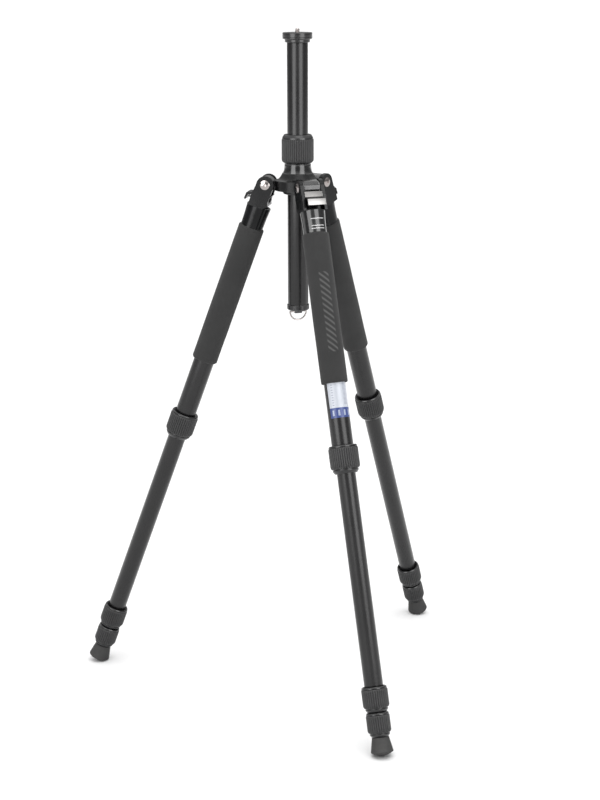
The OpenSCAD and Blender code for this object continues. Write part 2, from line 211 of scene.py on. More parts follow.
def streak_group() -> bpy.types.NodeTree:
    """Build the group of fine parallel lines left by drawing or brushing.

    Returns:
        The group's tree: a mask from a vector, stretched along its Y.
    """
    group = Group("drawn_lines")
    group.socket("Vector", "Vector")
    group.socket("Across", "Float", 4000.0)
    group.socket("Along", "Float", 12.0)
    group.socket("Mask", "Float", output=True)
    wire = Wiring(group.tree)
    entry = group.entry.outputs
    stretch = wire.add("CombineXYZ", {0: entry["Across"], 1: entry["Along"], 2: entry["Across"]})
    scaled = wire.add("VectorMath", {0: entry["Vector"], 1: stretch.outputs[0]}, operation="MULTIPLY")
    lines = wire.add("TexNoise", {"Vector": scaled.outputs[0], "Scale": 1.0, "Detail": 2.0})
    group.tree.links.new(wire.remap(lines.outputs[0], 0.25, 0.75), group.exit.inputs["Mask"])
    return group.tree


def wear_group() -> bpy.types.NodeTree:
    """Build the group of worn edges and settled dust.

    Returns:
        The group's tree: a mask of rubbed edges and one of dusty upper faces.
    """
    group = Group("wear_and_dust")
    group.socket("Vector", "Vector")
    group.socket("Edge", "Float", 0.5)
    group.socket("Dust", "Float", 0.3)
    group.socket("Worn", "Float", output=True)
    group.socket("Dusty", "Float", output=True)
    wire = Wiring(group.tree)
    entry = group.entry.outputs
    shape = wire.add("NewGeometry")
    patches = wire.add("TexNoise", {"Vector": entry["Vector"], "Scale": 160.0, "Detail": 5.0})
    edges = wire.remap(shape.outputs["Pointiness"], 0.52, 0.62)
    rubbed = wire.math("MULTIPLY", edges, wire.remap(patches.outputs[0], 0.35, 0.65))
    facing = wire.add("SeparateXYZ", {0: shape.outputs["Normal"]})
    upper = wire.remap(facing.outputs[2], 0.2, 0.95)
    settled = wire.math("MULTIPLY", upper, wire.remap(patches.outputs[0], 0.4, 0.75))
    group.tree.links.new(wire.math("MULTIPLY", rubbed, entry["Edge"]), group.exit.inputs["Worn"])
    group.tree.links.new(wire.math("MULTIPLY", settled, entry["Dust"]), group.exit.inputs["Dusty"])
    return group.tree


class Effects:
    """The shader groups that several finishes share."""

    def __init__(self) -> None:
        """Build each group once."""
        self.grain = grain_group()
        self.streaks = streak_group()
        self.wear = wear_group()


# ---------------------------------------------------------------- finishes


@dataclass(frozen=True)
class Finish:
    """One surface finish: tones, gloss, grain, drawn lines, wear and relief."""

    name: str
    base: Colour
    tint: Colour
    roughness: float
    spread: float = 0.08
    metallic: float = 0.0
    grain_scale: float = 2500.0
    blotch_scale: float = 30.0
    relief: float = 0.00002
    lines: float = 0.0
    edge: float = 0.0
    dust: float = 0.0
    coat: float = 0.0
    sheen: float = 0.0
    specular: float = 0.5
    paint: Callable[[Wiring, "Layers"], None] | None = None

    def build(self, effects: Effects) -> bpy.types.Material:
        """Make the material.

        Args:
            effects: The shared shader groups.

        Returns:
            The material, with all its detail procedural.
        """
        material = bpy.data.materials.new(self.name)
        material.use_nodes = True
        material.diffuse_color = (*self.base, 1.0)
        wire = Wiring(material.node_tree)
        shader = material.node_tree.nodes["Principled BSDF"]
        place = wire.add("TexCoord").outputs["Object"]
        grain = wire.add("Group", node_tree=effects.grain)
        material.node_tree.links.new(place, grain.inputs["Vector"])
        grain.inputs["Grain Scale"].default_value = self.grain_scale
        grain.inputs["Blotch Scale"].default_value = self.blotch_scale
        grain.inputs["Base"].default_value = (*self.base, 1.0)
        grain.inputs["Tint"].default_value = (*self.tint, 1.0)
        grain.inputs["Roughness"].default_value = self.roughness
        grain.inputs["Spread"].default_value = self.spread
        layers = Layers(grain.outputs["Color"], grain.outputs["Roughness"], grain.outputs["Height"])
        if self.lines:
            along = wire.add("UVMap", uv_map="around").outputs[0]
            streaks = wire.add("Group", {"Vector": along}, node_tree=effects.streaks)
            lift = wire.math("MULTIPLY", streaks.outputs["Mask"], self.lines)
            layers.roughness = wire.math("ADD", layers.roughness, lift, clamp=True)
            layers.height = wire.math("ADD", layers.height, wire.math("MULTIPLY", streaks.outputs["Mask"], 0.6))
        if self.edge or self.dust:
            wear = wire.add("Group", {"Vector": place, "Edge": self.edge, "Dust": self.dust}, node_tree=effects.wear)
            layers.colour = wire.mix(wear.outputs["Worn"], layers.colour, (0.16, 0.16, 0.165, 1.0))
            layers.colour = wire.mix(wear.outputs["Dusty"], layers.colour, (0.30, 0.29, 0.27, 1.0))
            layers.roughness = wire.math("ADD", layers.roughness, wear.outputs["Dusty"], clamp=True)
        if self.paint:
            self.paint(wire, layers)
        bump = wire.add("Bump", {"Height": layers.height, "Distance": self.relief, "Strength": 1.0})
        shader.inputs["Metallic"].default_value = self.metallic
        shader.inputs["Coat Weight"].default_value = self.coat
        shader.inputs["Coat Roughness"].default_value = 0.12
        shader.inputs["Sheen Weight"].default_value = self.sheen
        shader.inputs["Sheen Roughness"].default_value = 0.5
        shader.inputs["Specular IOR Level"].default_value = self.specular
        for source, target in ((layers.colour, "Base Color"), (layers.roughness, "Roughness"),
                               (bump.outputs[0], "Normal")):
            material.node_tree.links.new(source, shader.inputs[target])
        if layers.coat:
            material.node_tree.links.new(layers.coat, shader.inputs["Coat Weight"])
        return material


@dataclass
class Layers:
    """The sockets that a finish's paint may change before they reach the shader."""

    colour: bpy.types.NodeSocket
    roughness: bpy.types.NodeSocket
    height: bpy.types.NodeSocket
    coat: bpy.types.NodeSocket | None = None


def around_mm(wire: Wiring) -> tuple[bpy.types.NodeSocket, bpy.types.NodeSocket]:
    """Split the turned pieces' own map into millimetres.

    Args:
        wire: The material's wiring.

    Returns:
        The distance round the piece from its front line, and the distance along it.
    """
    place = wire.add("UVMap", uv_map="around").outputs[0]
    parts = wire.add("SeparateXYZ", {0: place})
    return wire.math("MULTIPLY", parts.outputs[0], 1 / MM), wire.math("MULTIPLY", parts.outputs[1], 1 / MM)


def foam_bars(wire: Wiring, layers: Layers) -> None:
    """Paint a column of slanted grey bars down the front of the foam sleeve."""
    across, along = around_mm(wire)
    slanted = wire.math("SUBTRACT", along, wire.math("MULTIPLY", across, 0.9))
    phase = wire.math("FRACT", wire.math("DIVIDE", slanted, 8.3))
    bars = wire.band(phase, 0.15, 0.55, 0.07)
    column = wire.math("MULTIPLY", wire.band(across, -9.0, 4.5, 0.6), wire.band(along, 118.0, 226.0, 0.6))
    mask = wire.math("MULTIPLY", wire.math("MULTIPLY", bars, column), 0.75)
    layers.colour = wire.mix(mask, layers.colour, (0.115, 0.115, 0.114, 1.0))


def tube_label(wire: Wiring, layers: Layers) -> None:
    """Paint a white label with a blue foot band and plain grey bars round the tube's front."""
    across, along = around_mm(wire)
    label = wire.math("MULTIPLY", wire.band(across, -17.2, 16.5, 0.15), wire.band(along, 262.0, 314.5, 0.15))
    foot = wire.band(along, 301.0, 315.0, 0.15)
    rows = wire.band(wire.math("FRACT", wire.math("DIVIDE", along, 3.4)), 0.3, 0.62, 0.06)
    left = wire.math("MULTIPLY", wire.band(across, -12.0, -9.4, 0.1), rows)
    fine = wire.band(wire.math("FRACT", wire.math("DIVIDE", along, 1.7)), 0.35, 0.7, 0.08)
    right = wire.math("MULTIPLY", wire.band(across, 4.5, 10.5, 0.1), fine)
    bars = wire.math("MULTIPLY", wire.math("ADD", left, right, clamp=True), wire.band(along, 268.0, 298.0, 0.1))
    paper = wire.mix(wire.math("MULTIPLY", bars, 0.62), (0.60, 0.63, 0.69, 1.0), (0.09, 0.11, 0.20, 1.0))
    dots = wire.band(wire.math("FRACT", wire.math("DIVIDE", across, 7.9)), 0.3, 0.62, 0.05)
    marks = wire.math("MULTIPLY", wire.math("MULTIPLY", dots, wire.band(along, 304.2, 311.6, 0.3)), 0.8)
    blue = wire.mix(marks, (0.050, 0.080, 0.26, 1.0), (0.52, 0.58, 0.70, 1.0))
    printed = wire.mix(foot, paper, blue)
    layers.colour = wire.mix(label, layers.colour, printed)
    layers.height = wire.math("ADD", layers.height, wire.math("MULTIPLY", label, 2.0))


def collar_pinstripes(wire: Wiring, layers: Layers) -> None:
    """Paint three fine pale lines across the front of the front yoke's socket."""
    across, along = around_mm(wire)
    front = wire.band(across, -9.5, 9.5, 0.3)
    lines = wire.band(along, 44.4, 45.5, 0.15)
    for start in (54.0, 57.8):
        lines = wire.math("ADD", lines, wire.band(along, start, start + 1.1, 0.15), clamp=True)
    mask = wire.math("MULTIPLY", lines, front)
    layers.colour = wire.mix(mask, layers.colour, (0.62, 0.62, 0.62, 1.0))
    layers.coat = wire.band(along, 33.0, 90.0, 0.5)


def neck_gloss(wire: Wiring, layers: Layers) -> None:
    """Lacquer the spider's neck above its step and its three hinge lugs, and leave the flange satin."""
    place = wire.add("TexCoord").outputs["Object"]
    height = wire.add("SeparateXYZ", {0: place}).outputs[2]
    low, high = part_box("spider")[0][2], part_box("spider")[1][2]
    step = low + (high - low) * SpiderSizes.step_share
    neck = wire.remap(height, step - 0.4 * MM, step + 0.4 * MM)
    flat = wire.add("VectorMath", {0: place, 1: (1.0, 1.0, 0.0)}, operation="MULTIPLY").outputs[0]
    radius = wire.add("VectorMath", {0: flat}, operation="LENGTH").outputs["Value"]
    lugs = wire.remap(radius, SpiderSizes.lug_reach - 0.5 * MM, SpiderSizes.lug_reach + 0.5 * MM)
    layers.coat = wire.math("MAXIMUM", neck, lugs)


class Finishes:
    """Every material of the tripod, by use."""

    def __init__(self, effects: Effects) -> None:
        """Build them all.

        Args:
            effects: The shared shader groups.
        """
        tube = dict(base=(0.0052, 0.0050, 0.0054), tint=(0.0092, 0.0088, 0.0094), roughness=0.25, spread=0.06,
                    lines=0.05, relief=0.000003, dust=0.02, specular=0.45)
        gloss = dict(base=(0.003, 0.0033, 0.0036), tint=(0.006, 0.0064, 0.007), roughness=0.22, relief=0.000010,
                     specular=0.20, blotch_scale=60.0, edge=0.25, dust=0.02)
        casting = dict(base=(0.003, 0.0032, 0.0035), tint=(0.007, 0.0073, 0.008), roughness=0.27, spread=0.12,
                       specular=0.20, relief=0.00003, edge=0.35, dust=0.08, blotch_scale=45.0)
        foam = dict(base=(0.030, 0.030, 0.0302), tint=(0.041, 0.041, 0.041), roughness=0.93, spread=0.05,
                    grain_scale=1500.0, relief=0.00022, sheen=0.08, specular=0.25)
        self.tube = Finish("anodised tube", **tube).build(effects)
        self.label_tube = Finish("anodised tube with label", **tube, paint=tube_label).build(effects)
        self.yoke = Finish("gloss yoke casting", **gloss).build(effects)
        self.striped_yoke = Finish("gloss yoke casting with pinstripes", **gloss,
                                   paint=collar_pinstripes).build(effects)
        self.casting = Finish("satin black casting", **casting).build(effects)
        self.spider = Finish("spider casting", **casting, paint=neck_gloss).build(effects)
        self.foam = Finish("closed cell foam", **foam).build(effects)
        self.marked_foam = Finish("closed cell foam with bars", **foam, paint=foam_bars).build(effects)
        self.grip = Finish("ribbed rubber", (0.024, 0.024, 0.0247), (0.037, 0.037, 0.0375), 0.42, relief=0.00005,
                           grain_scale=3200.0, edge=0.25, dust=0.06, specular=0.35).build(effects)
        self.lock_body = Finish("moulded lock plastic", (0.008, 0.008, 0.0085), (0.014, 0.014, 0.015), 0.22,
                                relief=0.00002, edge=0.2, dust=0.03).build(effects)
        self.plate = Finish("turned plate", (0.006, 0.006, 0.0065), (0.011, 0.011, 0.012), 0.20, relief=0.00001,
                            edge=0.5, dust=0.05, lines=0.05).build(effects)
        self.chrome = Finish("polished steel", (0.34, 0.31, 0.30), (0.42, 0.385, 0.375), 0.09, spread=0.10,
                             metallic=1.0, relief=0.000004).build(effects)
        self.satin = Finish("satin silver", (0.13, 0.127, 0.124), (0.175, 0.171, 0.168), 0.36, spread=0.15,
                            metallic=1.0, relief=0.00002, grain_scale=1800.0).build(effects)
        self.bright = Finish("bright lip", (0.21, 0.205, 0.20), (0.30, 0.295, 0.29), 0.28, spread=0.15, metallic=1.0,
                             relief=0.00001).build(effects)
        self.washer = Finish("pale washer", (0.30, 0.30, 0.30), (0.40, 0.40, 0.40), 0.35, relief=0.00001).build(effects)
        self.nylon = Finish("nylon", (0.05, 0.05, 0.05), (0.07, 0.07, 0.07), 0.5, relief=0.00003).build(effects)
        self.spring = Finish("bright zinc", (0.36, 0.36, 0.37), (0.46, 0.46, 0.47), 0.28, metallic=1.0,
                             relief=0.00001).build(effects)
        self.cap = Finish("moulded cap", (0.007, 0.007, 0.0075), (0.013, 0.013, 0.014), 0.26, relief=0.00003,
                          edge=0.3).build(effects)
        self.foot = Finish("foot rubber", (0.034, 0.034, 0.034), (0.052, 0.051, 0.050), 0.68, relief=0.00008,
                           grain_scale=1500.0, blotch_scale=70.0, edge=0.3, dust=0.10, specular=0.3).build(effects)


# ---------------------------------------------------------------- mesh work


def link_mesh(bm: bmesh.types.BMesh, name: str, sharp_angle: float = 32.0) -> bpy.types.Object:
    """Turn finished mesh work into an object with smooth faces and sharp creases.

    Args:
        bm: The mesh work, which is freed.
        name: The object's name.
        sharp_angle: Edges over this many degrees stay sharp.

    Returns:
        The linked object.
    """
    limit = math.radians(sharp_angle)
    for face in bm.faces:
        face.smooth = True
    for edge in bm.edges:
        edge.smooth = not (edge.is_manifold and edge.calc_face_angle(0.0) > limit)
    mesh = bpy.data.meshes.new(name)
    bm.to_mesh(mesh)
    bm.free()
    obj = bpy.data.objects.new(name, mesh)
    bpy.context.scene.collection.objects.link(obj)
    return obj


def rounded(outline: Sequence[Point], radius: float, steps: int = 4) -> list[Point]:
    """Round every corner of a closed outline that has room for it.

    Args:
        outline: The corners, in order.
        radius: The largest fillet radius.
        steps: Points on each fillet beyond its first.

    Returns:
        The outline with arcs for corners.
    """
    result: list[Point] = []
    for index, corner in enumerate(outline):
        here = Vector(corner)
        before = Vector(outline[index - 1]) - here
        after = Vector(outline[(index + 1) % len(outline)]) - here
        if before.length < 1e-9 or after.length < 1e-9:
            continue
        half = before.angle(after) / 2
        if half > math.radians(86):
            result.append(corner)
            continue
        reach = min(radius / math.tan(half), before.length * 0.45, after.length * 0.45)
        start, end = here + before.normalized() * reach, here + after.normalized() * reach
        for step in range(steps + 1):
            share = step / steps
            point = start.lerp(here, share).lerp(here.lerp(end, share), share)
            result.append((point.x, point.y))
    return result


def spun(outline: Sequence[Point], steps: int = ROUND_STEPS) -> bmesh.types.BMesh:
    """Spin a closed outline of (radius, height) points into a ring about Z.

    Args:
        outline: The outline; points at radius 0 become a closed pole.
        steps: Segments in the full turn.

    Returns:
        The watertight mesh work, normals outwards.
    """
    bm = bmesh.new()
    verts = [bm.verts.new((0.0, radius, height)) for radius, height in outline]
    on_axis = [radius < 1e-7 for radius, _ in outline]
    for index, vert in enumerate(verts):
        if not (on_axis[index] and on_axis[index - 1]):
            bm.edges.new((verts[index - 1], vert))
    bmesh.ops.spin(
        bm, geom=bm.verts[:] + bm.edges[:], cent=(0, 0, 0), axis=(0, 0, 1), angle=math.tau, steps=steps, use_merge=True
    )
    bmesh.ops.remove_doubles(bm, verts=bm.verts[:], dist=1e-7)
    bmesh.ops.recalc_face_normals(bm, faces=bm.faces[:])
    return bm


def ribbed_sleeve(stations: Sequence[tuple[float, float, float]], bore: float, count: int) -> bmesh.types.BMesh:
    """Extrude one rib along its stations and spin copies of it into a closed sleeve.

    Args:
        stations: For each height: (height, crest radius, rib depth).
        bore: Inner radius of the sleeve.
        count: Number of ribs.

    Returns:
        The watertight mesh work.
    """
    bm = bmesh.new()
    pitch = math.tau / count
    shape = ((0.0, 1.0), (0.07, 0.92), (0.16, 0.35), (0.27, 0.0), (0.5, -0.06), (0.73, 0.0), (0.84, 0.35),
             (0.93, 0.92), (1.0, 1.0))
    rows = [(stations[0][0], bore, 0.0), *stations, (stations[-1][0], bore, 0.0)]
    first = [bm.verts.new((0.0, 0.0, 0.0)) for _ in shape]
    edges = [bm.edges.new(pair) for pair in zip(first, first[1:])]
    row_verts = first
    for index, (height, crest, depth) in enumerate(rows):
        if index:
            made = bmesh.ops.extrude_edge_only(bm, edges=edges)["geom"]
            edges = [item for item in made if isinstance(item, bmesh.types.BMEdge) and item.is_boundary
                     and not any(vert in row_verts for vert in item.verts)]
            row_verts = ordered_chain(edges, row_verts)
        for vert, (share, dip) in zip(row_verts, shape):
            radius = crest - depth * dip
            angle = share * pitch
            vert.co = (radius * math.cos(angle), radius * math.sin(angle), height)
    bmesh.ops.spin(
        bm, geom=bm.verts[:] + bm.edges[:] + bm.faces[:], cent=(0, 0, 0), axis=(0, 0, 1),
        angle=math.tau - pitch, steps=count - 1, use_duplicate=True,
    )
    bmesh.ops.remove_doubles(bm, verts=bm.verts[:], dist=2e-6)
    rims = [edge for edge in bm.edges if edge.is_boundary]
    bmesh.ops.bridge_loops(bm, edges=rims)
    bmesh.ops.recalc_face_normals(bm, faces=bm.faces[:])
    return bm


def ordered_chain(edges: Sequence[bmesh.types.BMEdge],
                  before: Sequence[bmesh.types.BMVert]) -> list[bmesh.types.BMVert]:
    """Order a new row of vertices as the row that it was extruded from.

    Args:
        edges: The new row's edges.
        before: The old row's vertices, in order.

    Returns:
        The new row's vertices, in the same order.
    """
    new = {vert for edge in edges for vert in edge.verts}
    return [next(edge.other_vert(old) for edge in old.link_edges if edge.other_vert(old) in new) for old in before]


def slab(outline: Sequence[Point], half_width: float, bevel: float) -> bmesh.types.BMesh:
    """Extrude an outline in the YZ plane to both sides of it and soften its edges.

    Args:
        outline: Corners as (y, z).
        half_width: Half of the thickness along X.
        bevel: Width of the softened edges.

    Returns:
        The closed mesh work.
    """
    bm = bmesh.new()
    face = bm.faces.new([bm.verts.new((-half_width, y, z)) for y, z in outline])
    extruded = bmesh.ops.extrude_face_region(bm, geom=[face])["geom"]
    moved = [item for item in extruded if isinstance(item, bmesh.types.BMVert)]
    bmesh.ops.translate(bm, verts=moved, vec=(2 * half_width, 0, 0))
    bmesh.ops.recalc_face_normals(bm, faces=bm.faces[:])
    if bevel:
        sharp = [edge for edge in bm.edges if edge.calc_face_angle(0.0) > math.radians(25)]
        bmesh.ops.bevel(bm, geom=sharp, offset=bevel, offset_type="OFFSET", segments=3, profile=0.5,
                        affect="EDGES", clamp_overlap=True, material=-1)
    return bm


def coil(radius: float, wire: float, low: float, high: float, turns: int, steps: int = 20) -> bmesh.types.BMesh:
    """Sweep a round wire up a helix about Z.

    Args:
        radius: From the axis to the wire's middle.
        wire: The wire's radius.
        low: Height of the first wire's middle.
        high: Height of the last one's.
        turns: Whole turns.
        steps: Segments in each turn.

    Returns:
        The closed mesh work.
    """
    bm = bmesh.new()
    ring = bmesh.ops.create_circle(bm, segments=8, radius=wire, cap_ends=True)["verts"]
    bmesh.ops.rotate(bm, verts=ring, cent=(0, 0, 0), matrix=Matrix.Rotation(math.pi / 2, 3, "X"))
    bmesh.ops.translate(bm, verts=ring, vec=(radius, 0, low))
    total = turns * steps
    bmesh.ops.spin(bm, geom=bm.verts[:] + bm.edges[:] + bm.faces[:], cent=(0, 0, 0), axis=(0, 0, 1),
                   dvec=(0, 0, (high - low) / total), angle=math.tau * turns, steps=total)
    bmesh.ops.remove_doubles(bm, verts=bm.verts[:], dist=1e-7)
    bmesh.ops.recalc_face_normals(bm, faces=bm.faces[:])
    return bm


def map_around(bm: bmesh.types.BMesh) -> None:
    """Give a turned piece its own map: metres round it from its +Y line, and metres along Z.

    Args:
        bm: Mesh work still about the Z axis.
    """
    layer = bm.loops.layers.uv.new("around")
    for face in bm.faces:
        middle = face.calc_center_median()
        centre_angle = math.atan2(middle.x, middle.y)
        for loop in face.loops:
            point = loop.vert.co
            radius = math.hypot(point.x, point.y)
            angle = math.atan2(point.x, point.y) if radius > 1e-7 else centre_angle
            angle -= math.tau * round((angle - centre_angle) / math.tau)
            loop[layer].uv = (angle * radius, point.z)


def map_flat(bm: bmesh.types.BMesh) -> None:
    """Give a flat-sided piece its own map: metres along X, and metres along Z."""
    layer = bm.loops.layers.uv.new("around")
    for face in bm.faces:
        for loop in face.loops:
            loop[layer].uv = (loop.vert.co.z, loop.vert.co.x)


# ---------------------------------------------------------------- frames


@dataclass
class LegFrame:
    """Where one leg is: X along its hinge, Y outwards, Z down the leg from the hinge."""

    name: str
    place: Matrix
    back: Matrix = field(init=False)

    def __post_init__(self) -> None:
        """Keep the way back into the leg's own frame."""
        self.back = self.place.inverted()

    @classmethod
    def from_joints(cls, name: str, joints: dict[str, dict]) -> "LegFrame":
        """Read the leg's place from its hinge and its first slide.

        Args:
            name: front, right or left.
            joints: The frame's joints by name.

        Returns:
            The leg's frame.
        """
        hinge = joints[f"{name}_leg_hinge"]
        across = -Vector(hinge["axis"]).normalized()
        down = Vector(joints[f"{name}_section_2_slide"]["axis"]).normalized()
        outwards = down.cross(across).normalized()
        turn = Matrix((across, outwards, down)).transposed().to_4x4()
        return cls(name, Matrix.Translation(Vector(hinge["pos_m"])) @ turn)

    def node(self, piece: str) -> str:
        """Name of this leg's CAD node."""
        return f"{self.name}_{piece}"


@dataclass(frozen=True)
class Span:
    """What a turned CAD node takes up along and round its own axis."""

    low: float
    high: float
    radius: float


def span_of(node: bpy.types.Object, back: Matrix) -> Span:
    """Measure a CAD node in the frame of its own axis.

    Args:
        node: The CAD node.
        back: Matrix from the row's frame to that frame.

    Returns:
        Its lowest and highest Z and its largest radius.
    """
    points = [back @ vert.co for vert in node.data.vertices]
    heights = [point.z for point in points]
    return Span(min(heights), max(heights), max(math.hypot(point.x, point.y) for point in points))


class Workshop:
    """Places finished pieces: frame, materials and the log."""

    def __init__(self, frame: dict, finishes: Finishes) -> None:
        """Keep what every piece needs.

        Args:
            finishes: The materials.
        """
        self.nodes: dict[str, bpy.types.Object] = frame["nodes"]
        self.joints = {joint["name"]: joint for joint in frame["joints"]}
        self.finishes = finishes

    def fit(self, obj: bpy.types.Object, body: str, material: bpy.types.Material, slot: Slot,
            nodes: Sequence[str] = (), place: Matrix | None = None) -> bpy.types.Object:
        """Put a piece in its place, dress it and let it ride.

        Args:
            obj: The piece, in its own axis's frame.
            body: The CAD body that it moves with.
            material: Its material.
            slot: The record's slot for its finish; not used.
            nodes: CAD nodes that it stands for.
            place: Matrix into the row's frame.

        Returns:
            The piece.
        """
        if place is not None:
            obj.data.transform(place)
        obj.data.materials.clear()
        obj.data.materials.append(material)
        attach(obj, body)
        if nodes:
            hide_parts(*nodes)
        LOG.info("%s rides on %s", obj.name, body)
        return obj

    def softened(self, node: str, name: str, width: float, angle: float = 30.0) -> bpy.types.Object:
        """Copy a CAD node, merge it and round its edges.

        Args:
            node: The CAD node.
            name: The copy's name.
            width: Width of the rounded edges.
            angle: Edges over this many degrees are rounded.

        Returns:
            The copy, with a live Bevel modifier.
        """
        bm = bmesh.new()
        bm.from_mesh(self.nodes[node].data)
        bmesh.ops.remove_doubles(bm, verts=bm.verts[:], dist=2e-6)
        bmesh.ops.dissolve_limit(bm, angle_limit=math.radians(0.6), verts=bm.verts[:], edges=bm.edges[:])
        map_around(bm)
        obj = link_mesh(bm, name, angle)
        bevel = obj.modifiers.new("rounded edges", "BEVEL")
        bevel.width = width
        bevel.segments = 3
        bevel.limit_method = "ANGLE"
        bevel.angle_limit = math.radians(angle)
        bevel.use_clamp_overlap = True
        bevel.harden_normals = True
        return obj

    def dress(self, node: str, material: bpy.types.Material) -> None:
        """Give a CAD node that stays its material."""
        mesh = self.nodes[node].data
        mesh.materials.clear()
        mesh.materials.append(material)


# ---------------------------------------------------------------- sub-assemblies


@dataclass
class Leg:
    """One leg: yoke, catch, foam sleeve, four tubes, three twist locks and a foot."""

    frame: LegFrame
    shop: Workshop
    wall: float = 1.2 * MM
    foam_corner: float = 2.2 * MM
    foam_wave: float = 0.22 * MM
    rib_counts: tuple[int, int, int] = (40, 36, 32)
    rib_depth: float = 1.1 * MM
    head_radius: float = 6.5 * MM
    head_height: float = 1.6 * MM
    head_lip: float = 0.35 * MM
    dome_steps: int = 10
    socket_across: float = 4.2 * MM
    axle_radius: float = 3.95 * MM
    head_shank_radius: float = 3.9 * MM
    washer_bore: float = 4.05 * MM
    washer_radius: float = 9.5 * MM
    pin_radius: float = 1.5 * MM
    pin_reach: float = 16.3 * MM
    spring_radius: float = 1.75 * MM
    spring_wire: float = 0.42 * MM
    spring_high: float = 13.3 * MM
    spring_turns: int = 9
    spring_drop: float = 9.4 * MM
    guide_length: float = 40 * MM
    tread_dome: float = 25.6 * MM
    foot_bore: float = 8.8 * MM

    def build(self) -> None:
        """Build and place all of the leg's pieces."""
        self.yoke()
        self.hinge_fasteners()
        self.catch()
        self.catch_pin_and_spring()
        self.foam()
        for number in range(1, 5):
            self.tube(number)
        for number in range(1, 4):
            self.twist_lock(number)
        self.foot()

    def span(self, piece: str) -> Span:
        """Measure one of the leg's CAD nodes down the leg."""
        return span_of(self.shop.nodes[self.frame.node(piece)], self.frame.back)

    def nut_bore(self, number: int) -> float:
        """Measure the bore of a twist lock's nut, from 1 for the top lock."""
        nut = self.shop.nodes[self.frame.node(f"lock_{number}_nut")]
        points = (self.frame.back @ vert.co for vert in nut.data.vertices)
        return min(math.hypot(point.x, point.y) for point in points)

    def place(self, bm: bmesh.types.BMesh, piece: str, body: str, material: bpy.types.Material, slot: Slot,
              nodes: Sequence[str] = (), sharp: float = 32.0) -> bpy.types.Object:
        """Turn mesh work in the leg's frame into a placed piece.

        Args:
            bm: The mesh work.
            piece: The piece's name without the leg's.
            body: The body's name without the leg's.
            material: Its material.
            slot: Its slot in the record.
            nodes: CAD nodes it stands for, without the leg's name.
            sharp: Edges over this many degrees stay sharp.

        Returns:
            The piece.
        """
        name = self.frame.node(piece)
        obj = link_mesh(bm, f"{name}_finished", sharp)
        return self.shop.fit(obj, self.frame.node(body), material, slot,
                             [self.frame.node(node) for node in nodes], self.frame.place)

    def yoke(self) -> None:
        """Round the cast yoke's edges and map its round socket for the pinstripes."""
        name = self.frame.node("yoke")
        obj = self.shop.softened(name, f"{name}_finished", 0.8 * MM)
        back, mesh = self.frame.back, obj.data
        layer = mesh.uv_layers["around"].data
        for loop in mesh.loops:
            point = back @ mesh.vertices[loop.vertex_index].co
            layer[loop.index].uv = (math.atan2(point.x, point.y) * math.hypot(point.x, point.y), point.z)
        finishes = self.shop.finishes
        material = finishes.striped_yoke if self.frame.name == "front" else finishes.yoke
        self.shop.fit(obj, self.frame.node("leg"), material, Slot.CASTING, [name])

    def hinge_fasteners(self) -> None:
        """Turn the axle, its two domed heads with hexagon sockets, and the washers."""
        axle = self.shop.nodes[self.frame.node("hinge_axle")]
        reach = max(abs((self.frame.back @ vert.co).x) for vert in axle.data.vertices)
        seat = reach - self.head_height
        key = self.socket_across / 2
        dome = [(0.0, seat - 4 * MM), (self.head_shank_radius, seat - 4 * MM),
                (self.head_shank_radius, seat), (self.head_radius, seat)]
        for step in range(self.dome_steps + 1):
            radius = self.head_radius + (key - self.head_radius) * step / self.dome_steps
            fall = (radius ** 2 - key ** 2) / (self.head_radius ** 2 - key ** 2)
            dome.append((radius, reach - (self.head_height - self.head_lip) * fall))
        dome += [(key, seat + 0.3 * MM), (0.0, seat + 0.1 * MM)]
        socket = [point for point in dome if abs(point[0] - key) < 1e-9]
        for side in (-1, 1):
            bm = spun(dome, 72)
            for vert in bm.verts:
                radius = math.hypot(vert.co.x, vert.co.y)
                if any(abs(radius - x) < 1e-7 and abs(vert.co.z - z) < 1e-7 for x, z in socket):
                    angle = math.atan2(vert.co.y, vert.co.x) % (math.pi / 3) - math.pi / 6
                    flat = math.cos(math.pi / 6) / math.cos(angle)
                    vert.co.x, vert.co.y = vert.co.x * flat, vert.co.y * flat
            bmesh.ops.rotate(bm, verts=bm.verts[:], cent=(0, 0, 0), matrix=Matrix.Rotation(side * math.pi / 2, 3, "Y"))
            word = "near" if side > 0 else "far"
            self.place(bm, f"hinge_head_{word}", "leg", self.shop.finishes.chrome, Slot.BRIGHT, ["hinge_axle"], 28.0)
        shaft = spun(rounded([(0.0, -seat), (self.axle_radius, -seat), (self.axle_radius, seat), (0.0, seat)],
                             0.1 * MM), 48)
        bmesh.ops.rotate(shaft, verts=shaft.verts[:], cent=(0, 0, 0), matrix=Matrix.Rotation(math.pi / 2, 3, "Y"))
        self.place(shaft, "hinge_shaft", "leg", self.shop.finishes.chrome, Slot.BRIGHT, ["hinge_axle"])
        washers = self.shop.nodes[self.frame.node("hinge_washers")]
        offsets = [abs((self.frame.back @ vert.co).x) for vert in washers.data.vertices]
        inner, outer = min(offsets), max(offsets)
        section = [(self.washer_bore, inner), (self.washer_radius, inner), (self.washer_radius, outer),
                   (self.washer_bore, outer)]
        for side in (-1, 1):
            bm = spun(rounded(section, 0.3 * MM), 72)
            bmesh.ops.rotate(bm, verts=bm.verts[:], cent=(0, 0, 0), matrix=Matrix.Rotation(side * math.pi / 2, 3, "Y"))
            word = "near" if side > 0 else "far"
            self.place(bm, f"hinge_washer_{word}", "leg", self.shop.finishes.washer, Slot.SATIN, ["hinge_washers"])

